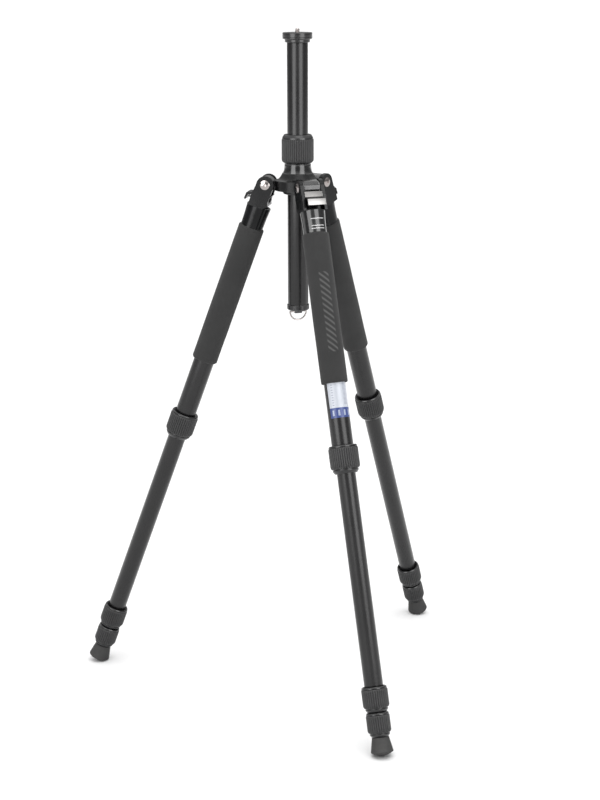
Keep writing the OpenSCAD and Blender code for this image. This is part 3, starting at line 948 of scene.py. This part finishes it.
    def catch(self) -> None:
        """Round the catch's lever and lay its two silver plates on it."""
        name = self.frame.node("catch")
        obj = self.shop.softened(name, f"{name}_finished", 0.35 * MM)
        self.shop.fit(obj, self.frame.node("catch_lever"), self.shop.finishes.casting, Slot.SATIN, [name])
        points = [self.frame.back @ vert.co for vert in self.shop.nodes[name].data.vertices]
        top = min(point.z for point in points)
        lip = max(point.y for point in points)
        half = max(point.x for point in points) - 0.15 * MM
        face = lip - 9.3 * MM
        plate = slab([(face - 0.1 * MM, top + 0.2 * MM), (face + 0.45 * MM, top + 7.6 * MM),
                      (face + 1.0 * MM, top + 7.7 * MM), (face + 0.35 * MM, top + 0.1 * MM)], half, 0.12 * MM)
        map_flat(plate)
        self.place(plate, "catch_plate", "catch_lever", self.shop.finishes.satin, Slot.SATIN)
        bright = slab([(lip - 0.75 * MM, top + 12.0 * MM), (lip - 0.30 * MM, top + 20.6 * MM),
                       (lip + 0.20 * MM, top + 20.6 * MM), (lip - 0.2 * MM, top + 12.0 * MM)], half, 0.12 * MM)
        map_flat(bright)
        self.place(bright, "catch_lip_plate", "catch_lever", self.shop.finishes.bright, Slot.SATIN)

    def catch_pin_and_spring(self) -> None:
        """Turn the catch's pin and wind its spring."""
        joint = self.shop.joints[self.frame.node("catch_pull")]
        pivot = self.frame.back @ Vector(joint["pos_m"])
        half, thick = self.pin_reach, self.pin_radius
        pin = spun(rounded([(0.0, -half), (thick, -half), (thick, half), (0.0, half)], 0.2 * MM), 32)
        bmesh.ops.rotate(pin, verts=pin.verts[:], cent=(0, 0, 0), matrix=Matrix.Rotation(math.pi / 2, 3, "Y"))
        bmesh.ops.translate(pin, verts=pin.verts[:], vec=pivot)
        self.place(pin, "catch_pin", "leg", self.shop.finishes.spring, Slot.SPRING, ["catch_pin"])
        spring = coil(self.spring_radius, self.spring_wire, 0.4 * MM, self.spring_high, self.spring_turns)
        bmesh.ops.rotate(spring, verts=spring.verts[:], cent=(0, 0, 0), matrix=Matrix.Rotation(-math.pi / 2, 3, "X"))
        bmesh.ops.translate(spring, verts=spring.verts[:], vec=(0, 5 * MM, pivot.z + self.spring_drop))
        self.place(spring, "catch_spring", "leg", self.shop.finishes.spring, Slot.SPRING, ["catch_pin"])

    def foam(self) -> None:
        """Turn the foam sleeve, round its ends and let its skin wander a little."""
        span = self.span("foam_sleeve")
        bore = self.span("tube_1").radius + 0.02 * MM
        rows = 44
        corner = self.foam_corner
        outer = [(span.radius, span.low + corner + (span.high - span.low - 2 * corner) * row / rows)
                 for row in range(rows + 1)]
        ends = [(bore, span.low + 0.3 * MM), (span.radius - 1.9 * MM, span.low),
                (span.radius - 0.9 * MM, span.low + 0.35 * MM), (span.radius - 0.25 * MM, span.low + 1.2 * MM)]
        closing = [(span.radius - 0.25 * MM, span.high - 1.2 * MM), (span.radius - 0.9 * MM, span.high - 0.35 * MM),
                   (span.radius - 1.9 * MM, span.high), (bore, span.high - 0.3 * MM)]
        bm = spun([*ends, *outer, *closing])
        map_around(bm)
        seed = Vector((len(self.frame.name) * 7.3, 2.1, 5.7))
        for vert in bm.verts:
            radius = math.hypot(vert.co.x, vert.co.y)
            if radius < bore + 0.5 * MM:
                continue
            wander = noise.noise(Vector((vert.co.x, vert.co.y, vert.co.z * 0.45)) * 62 + seed)
            scale = 1 + (self.foam_wave * (wander - 0.75)) / radius
            vert.co.x, vert.co.y = vert.co.x * scale, vert.co.y * scale
            near_end = max(0.0, 1 - min(vert.co.z - span.low, span.high - vert.co.z) / (4 * MM))
            ripple = noise.noise(Vector((vert.co.x, vert.co.y, 0.0)) * 150 + seed)
            inward = 1 if vert.co.z - span.low < span.high - vert.co.z else -1
            vert.co.z += inward * near_end * 0.55 * MM * (0.6 + ripple)
        finishes = self.shop.finishes
        material = finishes.marked_foam if self.frame.name == "front" else finishes.foam
        piece = self.place(bm, "foam_sleeve", "leg", material, Slot.FOAM, ["foam_sleeve"], 60.0)

    def tube(self, number: int) -> None:
        """Turn one telescoping tube with softened ends and its guide ring inside.

        Args:
            number: 1 for the top tube to 4 for the bottom one.
        """
        span = self.span(f"tube_{number}")
        radius = span.radius
        if number > 1:
            radius = self.nut_bore(number - 1) - 0.05 * MM
        guide = span.low + self.guide_length
        if number == 1:
            outline = [(radius - self.wall, span.low), (radius, span.low), (radius, span.high),
                       (radius - self.wall, span.high)]
        else:
            outline = [(radius - self.wall, span.low), (span.radius, span.low), (span.radius, guide), (radius, guide),
                       (radius, span.high), (radius - self.wall, span.high)]
        bm = spun(rounded(outline, 0.2 * MM, 2), 128)
        map_around(bm)
        finishes = self.shop.finishes
        material = finishes.label_tube if (self.frame.name, number) == ("front", 1) else finishes.tube
        body = "leg" if number == 1 else f"section_{number}"
        self.place(bm, f"tube_{number}", body, material, Slot.TUBE, [f"tube_{number}"], 40.0)

    def twist_lock(self, number: int) -> None:
        """Turn one twist lock: a moulded body with rims, and a ribbed rubber sleeve over it.

        Args:
            number: 1 for the top lock to 3 for the bottom one.
        """
        span = self.span(f"lock_{number}_grip")
        nut = self.span(f"lock_{number}_nut")
        length = span.high - span.low
        crest, top, bottom = span.radius, span.low, span.high
        bore = nut.radius + 0.05 * MM
        upper = nut.radius - 1.2 * MM
        lower = self.nut_bore(number)
        ribs_end = bottom - 0.27 * length
        groove = bottom - 0.16 * length
        skin = crest - 1.5 * MM
        body = rounded([
            (upper, top + 2.3 * MM), (upper + 0.5 * MM, top + 2.0 * MM), (crest - 2.6 * MM, top + 0.4 * MM),
            (crest - 2.25 * MM, top), (crest - 1.55 * MM, top), (crest - 0.6 * MM, top + 1.3 * MM),
            (crest - 0.55 * MM, top + 2.9 * MM), (skin, top + 3.2 * MM),
            (skin, groove - 0.2 * MM), (crest - 2.9 * MM, groove), (crest - 2.9 * MM, groove + 1.0 * MM),
            (crest - 2.15 * MM, groove + 1.1 * MM), (crest - 2.5 * MM, groove + 2.6 * MM), (lower + 2.4 * MM, bottom),
            (lower + 1.2 * MM, bottom), (lower + 0.5 * MM, bottom - 0.8 * MM), (lower + 0.5 * MM, bottom - 2.4 * MM),
            (bore, bottom - 2.9 * MM), (bore, top + 3.2 * MM), (upper, top + 3.2 * MM)], 0.35 * MM, 3)
        bm = spun(body)
        map_around(bm)
        self.place(bm, f"lock_{number}_body", f"lock_{number}", self.shop.finishes.lock_body, Slot.GRIP,
                   [f"lock_{number}_grip"], 40.0)
        depth = self.rib_depth
        low, high = top + 3.1 * MM, groove - 0.15 * MM
        stations = [(low, crest - 1.15 * MM, 0.0), (low + 0.25 * MM, crest - 0.55 * MM, 0.0),
                    (low + 0.9 * MM, crest - 0.12 * MM, 0.35 * depth), (low + 2.0 * MM, crest, depth)]
        stations += [(low + 2.0 * MM + (ribs_end - low - 2.0 * MM) * step / 4, crest, depth) for step in range(1, 5)]
        for share, drop, fade in ((0.3, 0.22, 1.0), (0.55, 0.62, 0.9), (0.78, 1.15, 0.6), (0.93, 1.55, 0.25),
                                  (1.0, 2.0, 0.0)):
            stations.append((ribs_end + (high - ribs_end) * share, crest - drop * MM, depth * fade))
        sleeve = ribbed_sleeve(stations, skin - 0.6 * MM, self.rib_counts[number - 1])
        map_around(sleeve)
        self.place(sleeve, f"lock_{number}_sleeve", f"lock_{number}", self.shop.finishes.grip, Slot.GRIP,
                   [f"lock_{number}_grip"], 50.0)

    def foot(self) -> None:
        """Turn the rubber foot: a flared cone, a lip and a domed tread with rings."""
        span = self.span("foot")
        dome = self.tread_dome
        middle = span.high - dome
        edge_radius = span.radius - 0.5 * MM
        edge = middle + math.sqrt(dome ** 2 - edge_radius ** 2)
        bore = self.foot_bore
        outline = [(0.0, span.low + 7.0 * MM), (bore, span.low + 7.0 * MM), (bore, span.low + 0.3 * MM),
                   (bore + 0.4 * MM, span.low), (span.radius - 4.1 * MM, span.low),
                   (span.radius - 3.6 * MM, span.low + 0.5 * MM), (span.radius - 3.45 * MM, span.low + 1.4 * MM),
                   (span.radius - 0.25 * MM, edge - 2.6 * MM),
                   (span.radius, edge - 1.7 * MM), (span.radius, edge - 0.7 * MM), (edge_radius, edge)]
        for share in (0.86, 0.84, 0.80, 0.78, 0.66, 0.64, 0.60, 0.58, 0.46, 0.44, 0.40, 0.38, 0.2, 0.0):
            radius = edge_radius * share
            sunk = 0.35 * MM if share in (0.84, 0.80, 0.64, 0.60, 0.44, 0.40) else 0.0
            outline.append((radius, middle + math.sqrt(dome ** 2 - radius ** 2) - sunk))
        bm = spun(rounded(outline, 0.3 * MM, 3))
        map_around(bm)
        self.place(bm, "foot", "section_4", self.shop.finishes.foot, Slot.FOOT, ["foot"], 40.0)


@dataclass(frozen=True)
class SpiderSizes:
    """Proportions of the spider casting that its finish follows."""

    step_share: float = 0.393
    lug_reach: float = 33.5 * MM


@dataclass
class Centre:
    """The spider, the centre column with its lock, the plate on top and the ring below."""

    shop: Workshop
    rib_count: int = 44
    rib_depth: float = 1.0 * MM
    thread_pitch: float = 1.27 * MM
    column_wall: float = 1.4 * MM
    boss_radius: float = 17.1 * MM
    boss_height: float = 4.3 * MM
    plate_height: float = 8.8 * MM
    stud_radius: float = 3.175 * MM
    thread_depth: float = 0.62 * MM
    screw_head_radius: float = 5.7 * MM
    screw_head_height: float = 2.4 * MM
    lock_gap: float = 3.7 * MM

    def build(self) -> None:
        """Build and place the centre's pieces."""
        finishes = self.shop.finishes
        spider = self.shop.softened("spider", "spider_finished", 0.6 * MM)
        self.shop.fit(spider, "spider", finishes.spider, Slot.CASTING, ["spider"])
        self.column()
        self.column_lock()
        self.top_plate()
        self.camera_screw()
        cap = self.shop.softened("column_end_cap", "column_end_cap_finished", 0.3 * MM)
        self.shop.fit(cap, "column", finishes.cap, Slot.CAP, ["column_end_cap"])
        self.ballast_ring()
        self.shop.dress("column_collet", finishes.nylon)
        self.shop.dress("column_grub_screws", finishes.spring)
        for leg in ("front", "right", "left"):
            for number in range(1, 4):
                self.shop.dress(f"{leg}_lock_{number}_nut", finishes.nylon)

    def span(self, node: str) -> Span:
        """Measure a centre node about the column's axis."""
        return span_of(self.shop.nodes[node], Matrix.Identity(4))

    def place(self, bm: bmesh.types.BMesh, piece: str, body: str, material: bpy.types.Material, slot: Slot,
              node: str, sharp: float = 35.0) -> bpy.types.Object:
        """Turn mesh work about the column's axis into a placed piece that stands for one node."""
        return self.shop.fit(link_mesh(bm, f"{piece}_finished", sharp), body, material, slot, [node])

    def column(self) -> None:
        """Turn the centre column's tube."""
        span = self.span("column_tube")
        wall = self.column_wall
        bm = spun(rounded([(span.radius - wall, span.low), (span.radius, span.low), (span.radius, span.high),
                           (span.radius - wall, span.high)], 0.2 * MM, 2), 144)
        map_around(bm)
        self.place(bm, "column_tube", "column", self.shop.finishes.tube, Slot.TUBE, "column_tube")

    def column_lock(self) -> None:
        """Turn the column lock's body and wrap its ribbed sleeve round it."""
        span = self.span("column_lock_grip")
        column = self.span("column_tube").radius
        crest, low, high = span.radius, span.low, span.high
        bore = column + self.lock_gap
        ribs_low, ribs_high = low + 5.0 * MM, high - 6.5 * MM
        skin = crest - 1.5 * MM
        body = rounded([
            (bore, low), (crest - 4.0 * MM, low), (crest - 1.6 * MM, low + 2.2 * MM), (skin, low + 4.0 * MM),
            (skin, ribs_high + 0.3 * MM), (crest - 0.5 * MM, ribs_high + 0.5 * MM),
            (crest - 0.55 * MM, ribs_high + 1.3 * MM), (crest - 1.2 * MM, high - 3.4 * MM),
            (crest - 2.6 * MM, high - 1.0 * MM), (crest - 3.5 * MM, high),
            (crest - 4.2 * MM, high), (crest - 4.7 * MM, high - 0.5 * MM), (column + 1.5 * MM, high - 2.7 * MM),
            (column + 0.5 * MM, high - 2.2 * MM), (column + 0.35 * MM, high - 2.6 * MM),
            (column + 0.5 * MM, high - 3.6 * MM), (bore, high - 3.6 * MM)], 0.5 * MM, 4)
        bm = spun(body)
        map_around(bm)
        self.place(bm, "column_lock_body", "column_lock", self.shop.finishes.lock_body, Slot.GRIP,
                   "column_lock_grip", 40.0)
        depth = self.rib_depth
        start = low + 1.6 * MM
        stations = [(start, crest - 2.6 * MM, 0.0), (start + 0.4 * MM, crest - 1.75 * MM, 0.15 * depth),
                    (start + 1.5 * MM, crest - 0.75 * MM, 0.6 * depth),
                    (ribs_low - 1.0 * MM, crest - 0.2 * MM, 0.95 * depth)]
        stations += [(ribs_low + (ribs_high - 1.4 * MM - ribs_low) * step / 4, crest, depth) for step in range(5)]
        stations += [(ribs_high - 0.5 * MM, crest - 0.1 * MM, 0.5 * depth),
                     (ribs_high + 0.2 * MM, crest - 0.35 * MM, 0.0), (ribs_high + 0.45 * MM, crest - 0.9 * MM, 0.0)]
        sleeve = ribbed_sleeve(stations, skin - 2.2 * MM, self.rib_count)
        map_around(sleeve)
        self.place(sleeve, "column_lock_sleeve", "column_lock", self.shop.finishes.grip, Slot.GRIP,
                   "column_lock_grip", 50.0)

    def top_plate(self) -> None:
        """Turn the plate: a boss, a dished face with turning rings and a bright rim edge."""
        span = self.span("top_plate")
        boss = self.boss_radius
        top = span.high
        under = top - self.plate_height
        foot = under - self.boss_height
        inner = self.span("column_tube").radius - self.column_wall
        stud = self.stud_radius
        face = [(span.radius - 0.8 * MM, top)]
        for ring in range(9):
            radius = span.radius - 2.2 * MM - ring * 1.6 * MM
            face += [(radius + 0.35 * MM, top), (radius + 0.15 * MM, top - 0.12 * MM),
                     (radius - 0.15 * MM, top - 0.12 * MM), (radius - 0.35 * MM, top)]
        outline = [(stud, span.low), (inner, span.low), (inner, foot), (boss - 0.6 * MM, foot), (boss, foot + 0.6 * MM),
                   (boss, under - 0.5 * MM), (boss + 0.3 * MM, under), (span.radius - 1.0 * MM, under),
                   (span.radius, under + 1.0 * MM), (span.radius, under + 2.1 * MM),
                   (span.radius - 0.25 * MM, under + 2.3 * MM), (span.radius - 0.25 * MM, under + 2.6 * MM),
                   (span.radius, under + 2.8 * MM), (span.radius, top - 0.8 * MM), *face,
                   (stud + 0.5 * MM, top), (stud, top - 0.5 * MM)]
        bm = spun(rounded(outline, 0.25 * MM, 3), 144)
        map_around(bm)
        self.place(bm, "top_plate", "column", self.shop.finishes.plate, Slot.CASTING, "top_plate", 30.0)

    def camera_screw(self) -> None:
        """Cut the camera screw's thread up a helix and close it with a chamfered tip."""
        span = self.span("camera_screw")
        crest = self.stud_radius
        root = crest - self.thread_depth
        head, seat = self.screw_head_radius, span.low + self.screw_head_height
        pitch = self.thread_pitch
        face = self.span("top_plate").high
        start, stop = face - 1.5 * pitch, span.high - 1.1 * MM
        turns = int((stop - start) / pitch)
        steps = 48
        bm = bmesh.new()
        tooth = [(root, 0.0), (root, 0.10 * pitch), (crest, 0.44 * pitch), (crest, 0.56 * pitch),
                 (root, 0.90 * pitch), (root, pitch)]
        verts = [bm.verts.new((0.0, radius, start + rise)) for radius, rise in tooth]
        for pair in zip(verts, verts[1:]):
            bm.edges.new(pair)
        bmesh.ops.spin(bm, geom=bm.verts[:] + bm.edges[:], cent=(0, 0, 0), axis=(0, 0, 1),
                       dvec=(0, 0, pitch / steps), angle=math.tau * turns, steps=steps * turns)
        bmesh.ops.remove_doubles(bm, verts=bm.verts[:], dist=1e-7)
        bmesh.ops.recalc_face_normals(bm, faces=bm.faces[:])
        self.place(bm, "camera_screw_thread", "column", self.shop.finishes.chrome, Slot.BRIGHT, "camera_screw", 30.0)
        core = rounded([(0.0, span.low), (head, span.low), (head, seat), (root, seat), (root, span.high - 1.3 * MM),
                        (crest - 0.15 * MM, span.high - 1.1 * MM), (crest - 0.9 * MM, span.high),
                        (0.0, span.high)], 0.15 * MM, 3)
        self.place(spun(core, 64), "camera_screw_core", "column", self.shop.finishes.chrome, Slot.BRIGHT,
                   "camera_screw", 30.0)

    def ballast_ring(self) -> None:
        """Smooth the wire ballast ring."""
        bm = bmesh.new()
        bm.from_mesh(self.shop.nodes["ballast_ring"].data)
        bmesh.ops.remove_doubles(bm, verts=bm.verts[:], dist=2e-6)
        self.place(bm, "ballast_ring", "ballast_ring", self.shop.finishes.chrome, Slot.BRIGHT, "ballast_ring", 60.0)


# ---------------------------------------------------------------- studio


@dataclass(frozen=True)
class Studio:
    """Pale floor, soft lights and the camera."""

    camera_distance: float = 2.3735
    camera_height: float = 1.0165
    camera_azimuth: float = -111.08
    camera_pitch: float = -14.284
    camera_yaw: float = -0.055
    camera_roll: float = -0.147
    lens: float = 77.8
    floor_half: float = 90.0
    floor_tone: float = 0.90
    backdrop: float = 0.95
    horizon: float = 0.30
    zenith: float = 1.50
    softbox_swing: float = 38.0
    softbox_reach: float = 2.3
    softbox_wide: float = 1.5
    softbox_tall: float = 2.2
    softbox_power: float = 44.0
    top_power: float = 14.0

    def build(self) -> None:
        """Make the floor, the world, the lights and the camera."""
        self.floor()
        self.world()
        for name, side in (("left softbox", -1.0), ("right softbox", 1.0)):
            self.softbox(name, self.camera_azimuth + side * self.softbox_swing, 1.2, self.softbox_reach,
                         self.softbox_wide, self.softbox_tall, self.softbox_power).visible_diffuse = False
        self.softbox("overhead", self.camera_azimuth + 20.0, 2.6, 0.9, 1.6, 1.6, self.top_power)
        self.camera()
        bpy.context.scene.view_settings.view_transform = "Standard"

    def floor(self) -> None:
        """Lay a wide pale floor."""
        bm = bmesh.new()
        bmesh.ops.create_grid(bm, x_segments=1, y_segments=1, size=self.floor_half)
        obj = link_mesh(bm, "studio_floor")
        material = bpy.data.materials.new("pale floor")
        material.use_nodes = True
        wire = Wiring(material.node_tree)
        shader = material.node_tree.nodes["Principled BSDF"]
        mottle = wire.add("TexNoise", {"Vector": wire.add("TexCoord").outputs["Object"], "Scale": 2.0})
        tone = self.floor_tone
        colour = wire.mix(mottle.outputs[0], (tone, tone, tone, 1.0), (tone * 1.01, tone * 1.01, tone * 1.012, 1.0))
        material.node_tree.links.new(colour, shader.inputs["Base Color"])
        shader.inputs["Roughness"].default_value = 0.9
        shader.inputs["Specular IOR Level"].default_value = 0.1
        obj.data.materials.append(material)

    def world(self) -> None:
        """Surround the scene with pale light, dim at the horizon and strong overhead."""
        world = bpy.data.worlds.new("studio")
        world.use_nodes = True
        wire = Wiring(world.node_tree)
        height = wire.add("SeparateXYZ", {0: wire.add("TexCoord").outputs["Generated"]}).outputs[2]
        background = world.node_tree.nodes["Background"]
        background.inputs["Color"].default_value = (1.0, 1.0, 1.0, 1.0)
        lighting = wire.remap(height, 0.15, 0.75, self.horizon, self.zenith)
        seen = wire.add("LightPath").outputs["Is Camera Ray"]
        strength = wire.remap(seen, 0.0, 1.0, lighting, self.backdrop)
        world.node_tree.links.new(strength, background.inputs["Strength"])
        bpy.context.scene.world = world

    def softbox(self, name: str, azimuth: float, height: float, distance: float, width: float, tall: float,
                power: float) -> bpy.types.Object:
        """Hang one softbox, turned to the tripod's middle.

        Args:
            name: The light's name.
            azimuth: Direction from the column, in degrees.
            height: Its height.
            distance: Its distance from the column.
            width: Width of its face.
            tall: Height of its face.
            power: Its power in watts.

        Returns:
            The light.
        """
        data = bpy.data.lights.new(name, "AREA")
        data.shape = "RECTANGLE"
        data.size, data.size_y, data.energy = width, tall, power
        obj = bpy.data.objects.new(name, data)
        bpy.context.scene.collection.objects.link(obj)
        angle = math.radians(azimuth)
        obj.location = (distance * math.cos(angle), distance * math.sin(angle), height)
        aim = Vector((0, 0, 0.45)) - obj.location
        obj.rotation_mode = "QUATERNION"
        obj.rotation_quaternion = aim.to_track_quat("-Z", "Y")
        obj.visible_camera = False
        return obj

    def camera(self) -> None:
        """Stand the camera at its measured place and turn it to its pitch, yaw and roll."""
        data = bpy.data.cameras.new("camera")
        data.lens = self.lens
        data.sensor_width = 36.0
        data.clip_end = 200.0
        obj = bpy.data.objects.new("camera", data)
        bpy.context.scene.collection.objects.link(obj)
        angle = math.radians(self.camera_azimuth)
        obj.location = (self.camera_distance * math.cos(angle), self.camera_distance * math.sin(angle),
                        self.camera_height)
        heading = angle + math.pi + math.radians(self.camera_yaw)
        turn = Matrix.Rotation(heading - math.pi / 2, 4, "Z")
        tilt = Matrix.Rotation(math.pi / 2 + math.radians(self.camera_pitch), 4, "X")
        roll = Matrix.Rotation(math.radians(self.camera_roll), 4, "Z")
        obj.rotation_mode = "QUATERNION"
        obj.rotation_quaternion = (turn @ tilt @ roll).to_quaternion()
        bpy.context.scene.camera = obj


def main() -> None:
    """Load the frame, build every piece and the studio, and finish."""
    logging.basicConfig(level=logging.INFO, format="%(name)s: %(message)s")
    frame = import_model()
    Studio().build()
    shop = Workshop(frame, Finishes(Effects()))
    for name in ("front", "right", "left"):
        Leg(LegFrame.from_joints(name, shop.joints), shop).build()
    Centre(shop).build()


if __name__ == "__main__":
    main()
